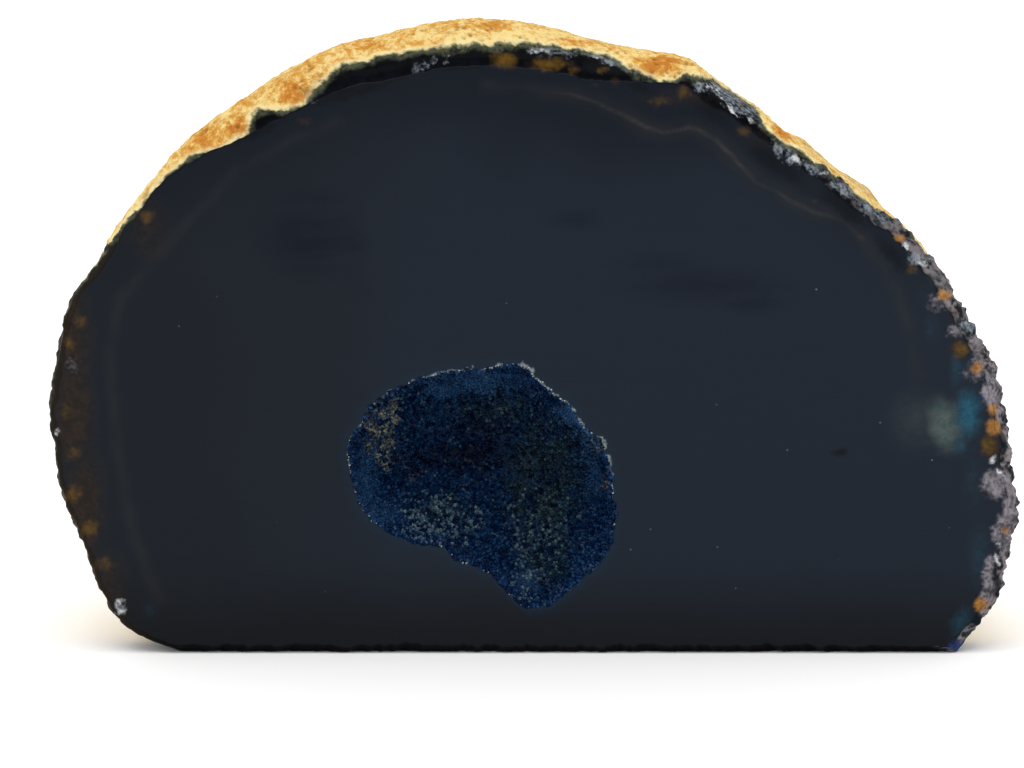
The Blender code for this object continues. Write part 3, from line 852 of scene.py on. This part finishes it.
print("hollow")
hollow = {
    "columns": 420, "rows": 70, "lumpSize": 7, "lumpHeight": 0.1, "lumpSeed": 9, "relief": 0.35,
    "wrinkles": ((1.6, 1, 71), (3.4, 1.4, 72))}
around = np.linspace(0, 2 * math.pi, hollow["columns"], endpoint=False)
turnsIn = np.linspace(0, 1, hollow["rows"])[:, None] * math.pi / 2
widths, depths = np.cos(turnsIn), np.sin(turnsIn)
middles = (mouthCentre[0], stone["faceY"], mouthCentre[1]) + depths[..., None] * (
    0, mouth["deep"], mouth["rise"])
spokes = ring(around, mouthRadii(around)) * widths[..., None]
lumpy = softNoise(middles + spokes, hollow["lumpSize"], hollow["lumpSeed"])
swell = 1 + hollow["lumpHeight"] * ease(depths, 0, 0.33) * lumpy
lining = middles + spokes * swell[..., None]
lining[..., 1] += hollow["relief"] * layered(lining, hollow["wrinkles"]) * ease(depths, 0.02, 0.3)
liningIds = gridIds(hollow["rows"], hollow["columns"])
liningFields = paintFields(lining, hollowPaint, False)
liningFields["cover"] = np.broadcast_to(ease(depths, 0, 0.02), lining.shape[:2])


druseShades = {
    "deep": screen(2, 15, 46), "blue": screen(14, 46, 82), "darkMoss": screen(5, 13, 24),
    "moss": screen(38, 60, 64), "sky": screen(46, 84, 124), "cleft": screen(2, 5, 26),
    "pale": screen(104, 128, 130), "khaki": screen(136, 136, 116)}


def druseMaterial(name, bed=False):
    # the wall under the crystals takes its tone from noise, each crystal has a tone of its own
    material, pad, sockets = newMaterial(name, specular=0.07)
    place = pad.where()
    grain = pad.cloud(place, 0.35, 2, 0.6, 1)
    tone = grain if bed else pad.field("tone")
    mossy = pad.times(pad.field("moss"), pad.rise(pad.cloud(place, 2.6, 2, 0.5, 6), 0.3, 0.6, 0.3, 0.9))
    # pale crystals are partly pale grains and partly painted glints that stand in for sparkle
    paleAndGlintTone = pad.add(tone, pad.times(pad.add(pad.cloud(place, 1.4, 2, 0.6, 3), -0.5), 1.2))
    pale = pad.rise(pad.add(paleAndGlintTone, pad.times(pad.field("pale"), 0.8)), 0.8, 1.7)
    crusted = pad.times(pad.field("khaki"), pad.rise(pad.cloud(place, 0.9, 2, 0.6, 4), 0.46, 0.6))
    shade = pad.coats(druseShades["deep"], (
        (pad.rise(tone, 0.1, 0.9), druseShades["blue"]),
        (mossy, pad.mix(tone, druseShades["darkMoss"], druseShades["moss"])),
        # painted sky light on the crystals near the rim
        (pad.times(pad.field("sky"), 0.55), druseShades["sky"]),
        # painted shadow in the deepest part of the hollow
        (pad.times(pad.field("cleft"), 0.85), druseShades["cleft"]),
        (pad.times(pale, 0.7), druseShades["pale"]),
        (pad.times(crusted, pad.rise(tone, 0, 0.6, 0.25, 0.85)), druseShades["khaki"])))
    pad.give(sockets, {
        "Base Color": shade, "Roughness": pad.rise(grain, 0.3, 0.7, 0.1, 0.35),
        "Normal": pad.bump(grain, 0.9 if bed else 0.15, 0.1)})
    return material


hollowLining = makeMesh(
    "hollowLining", lining.reshape(-1, 3), quads(liningIds, True), [], liningFields,
    druseMaterial("druseBed", True))
finishPiece(hollowLining)


crystal = {"footRadius": 0.4, "foot": -0.4, "radius": 0.5, "shoulder": 0.42, "tip": (0.1, 0.06, 0.95)}


def quartzShape(name):
    # six-sided prism with a pointed end, one unit across, rooted below the ground
    levels = ((crystal["footRadius"], crystal["foot"]), (crystal["radius"], crystal["shoulder"]))
    corners = [(radius * math.cos(math.pi / 3 * i), radius * math.sin(math.pi / 3 * i), z)
               for radius, z in levels for i in range(6)]
    faces = [(5, 4, 3, 2, 1, 0)]
    for i in range(6):
        j = (i + 1) % 6
        faces += [(i, j, j + 6, i + 6), (i + 6, j + 6, 12)]
    mesh = bpy.data.meshes.new(name)
    mesh.from_pydata([*corners, crystal["tip"]], [], faces)
    return addObject(name, mesh)


def buildCrystalTree():
    # crystals on a surface, denser where its "cover" is high, each with a tone of its own
    tree = bpy.data.node_groups.new("crystalGrowth", "GeometryNodeTree")
    for name, kind in (
            ("Ground", "NodeSocketGeometry"), ("Crystal", "NodeSocketObject"),
            ("Finish", "NodeSocketMaterial"), ("Spacing", number), ("Smallest", number), ("Largest", number),
            ("Lean", number), ("Seed", "NodeSocketInt")):
        tree.interface.new_socket(name, in_out="INPUT", socket_type=kind)
    tree.interface.new_socket("Crystals", in_out="OUTPUT", socket_type="NodeSocketGeometry")
    pad = NodePad(tree)
    given, out = pad.node("NodeGroupInput").outputs, pad.node("NodeGroupOutput").inputs
    cover = pad.node("GeometryNodeInputNamedAttribute", {"Name": "cover"}, data_type="FLOAT")
    scatter = pad.node("GeometryNodeDistributePointsOnFaces", {
        "Mesh": given["Ground"], "Distance Min": given["Spacing"], "Density Max": 6e7,
        "Density Factor": cover.outputs["Attribute"], "Seed": given["Seed"]},
        distribute_method="POISSON").outputs
    tone = pad.node("FunctionNodeRandomValue", {"Seed": 7}, data_type="FLOAT")
    toned = pad.node("GeometryNodeStoreNamedAttribute", {
        "Geometry": scatter["Points"], "Name": "tone", "Value": tone.outputs[1]},
        data_type="FLOAT", domain="POINT")
    most = pad.node("ShaderNodeCombineXYZ", {0: given["Lean"], 1: given["Lean"], 2: math.pi}).outputs[0]
    least = pad.node("ShaderNodeVectorMath", {0: most, "Scale": -1}, operation="SCALE").outputs[0]
    lean = pad.node("FunctionNodeRandomValue", {0: least, 1: most, "Seed": 3}, data_type="FLOAT_VECTOR")
    lean = pad.node("FunctionNodeEulerToRotation", {0: lean.outputs[0]})
    turn = pad.node("FunctionNodeRotateRotation", {
        0: scatter["Rotation"], 1: lean.outputs[0]}, rotation_space="LOCAL")
    size = pad.node("FunctionNodeRandomValue", {
        2: given["Smallest"], 3: given["Largest"], "Seed": 5}, data_type="FLOAT")
    shape = pad.node("GeometryNodeObjectInfo", {"Object": given["Crystal"], "As Instance": True})
    grown = pad.node("GeometryNodeInstanceOnPoints", {
        "Points": toned.outputs["Geometry"], "Instance": shape.outputs["Geometry"],
        "Rotation": turn.outputs[0], "Scale": size.outputs[1]})
    whole = pad.node("GeometryNodeRealizeInstances", {"Geometry": grown.outputs["Instances"]})
    painted = pad.node("GeometryNodeSetMaterial", {
        "Geometry": whole.outputs["Geometry"], "Material": given["Finish"]})
    pad.give(out, {"Crystals": painted.outputs["Geometry"]})
    return tree


crystalTree = buildCrystalTree()


def growCrystals(name, ground, slot, **values):
    # runs the growth on a ground object and keeps the result as a plain mesh
    modifier = ground.modifiers.new("growth", "NODES")
    modifier.node_group = crystalTree
    sockets = {item.name: item.identifier for item in crystalTree.interface.items_tree
               if item.in_out == "INPUT"}
    for socketName, value in values.items():
        modifier[sockets[socketName]] = value
    bpy.context.view_layer.update()
    mesh = bpy.data.meshes.new_from_object(ground.evaluated_get(bpy.context.evaluated_depsgraph_get()))
    mesh.name = name
    ground.modifiers.remove(modifier)
    finishPiece(addObject(name, mesh))
    print(name, len(mesh.polygons), "faces")


quartz = quartzShape("quartzShape")
druse = {"Spacing": 0.00038, "Smallest": 0.0003, "Largest": 0.00062, "Lean": 0.55, "Seed": 4}
growCrystals("druseCrystals", hollowLining, "druse", Crystal=quartz,
             Finish=druseMaterial("druseQuartz"), **druse)

print("broken edge of the mouth")
mouthEdge = {"Spacing": 0.00016, "Smallest": 0.00012, "Largest": 0.00026, "Lean": 0.9, "Seed": 6}
edgeRowCount = 6
edgeStrip = plate[-edgeRowCount:]
stripIds = gridIds(edgeRowCount, len(angles))
stripCover = plateFields["brokenEdge"][-edgeRowCount:] * ease(softNoise(edgeStrip, 0.9, 56), -0.35, 0.15)
edgeGround = makeMesh("edgeGround", edgeStrip.reshape(-1, 3), quads(stripIds, True), [], {
    "cover": stripCover, **paintFields(edgeStrip, hollowPaint, False)}, polishedAgate)


def edgeMaterial():
    material, pad, sockets = newMaterial("paleQuartz", specular=0.3)
    shade = pad.coats(screen(50, 72, 90), (
        (pad.field("tone"), screen(168, 174, 168)),
        (pad.times(pad.field("khaki"), 0.8), screen(168, 158, 112))))
    rough = pad.rise(pad.cloud(pad.where(), 0.2), 0.3, 0.7, 0.2, 0.45)
    pad.give(sockets, {"Base Color": shade, "Roughness": rough})
    return material


growCrystals("mouthQuartz", edgeGround, "druse", Crystal=quartz, Finish=edgeMaterial(), **mouthEdge)
for helper in (quartz, edgeGround):
    bpy.data.objects.remove(helper, do_unlink=True)

print("floor, lights and camera")
studio = {
    "floorRadius": 4000,
    "floorCorners": 64,
    "floorTop": -0.05,
    "floorShade": 0.97,
    "world": 1,
    "softboxStrength": 1.15,
    "softboxSpread": math.radians(50),
    "softboxTurn": (math.radians(18), 0, math.radians(-15)),
    "softboxColour": (1, 0.99, 0.98),
    "glintStrength": 0.1,
    "glintPlace": (-0.3, -0.62, 0.12),
    "glintTurn": (math.radians(83), 0, math.radians(-26)),
    "glintSpread": math.radians(30),
    "glintRadius": 0.006,
}
floorMaterial, pad, sockets = newMaterial("floorPaper", roughness=0.9, specular=0.1)
pad.give(sockets, {"Base Color": (studio["floorShade"],) * 3})
floorPoints = ring(np.linspace(0, 2 * math.pi, studio["floorCorners"], endpoint=False), studio["floorRadius"])
floorPoints = floorPoints[:, (0, 2, 1)] + (0, 0, studio["floorTop"])
floor = makeMesh("studioFloor", floorPoints, [], [list(range(len(floorPoints)))], {}, floorMaterial)
world = bpy.data.worlds.new("studio")
world.use_nodes = True
NodePad(world.node_tree).give(
    world.node_tree.nodes["Background"].inputs, {"Color": (1, 1, 1), "Strength": studio["world"]})
scene.world = world


def addLight(name, kind, turn, place=(0, 0, 0), **values):
    lamp = bpy.data.lights.new(name, kind)
    for key, value in values.items():
        setattr(lamp, key, value)
    holder = addObject(name, lamp)
    holder.location = place
    holder.rotation_euler = turn


addLight("softbox", "SUN", studio["softboxTurn"], energy=studio["softboxStrength"],
         color=studio["softboxColour"], angle=studio["softboxSpread"])
addLight("glintLamp", "SPOT", studio["glintTurn"], studio["glintPlace"], energy=studio["glintStrength"],
         spot_size=studio["glintSpread"], shadow_soft_size=studio["glintRadius"])

cameraData = bpy.data.cameras.new("photoCamera")
cameraData.lens = view["lens"]
cameraData.sensor_width = view["sensor"]
cameraData.clip_start, cameraData.clip_end = view["clip"]
camera = addObject("photoCamera", cameraData)
camera.location = Vector(cameraPlace) * mm
camera.rotation_euler = (math.radians(90) - tilt, 0, 0)
scene.camera = camera
scene.view_settings.view_transform = "Standard"
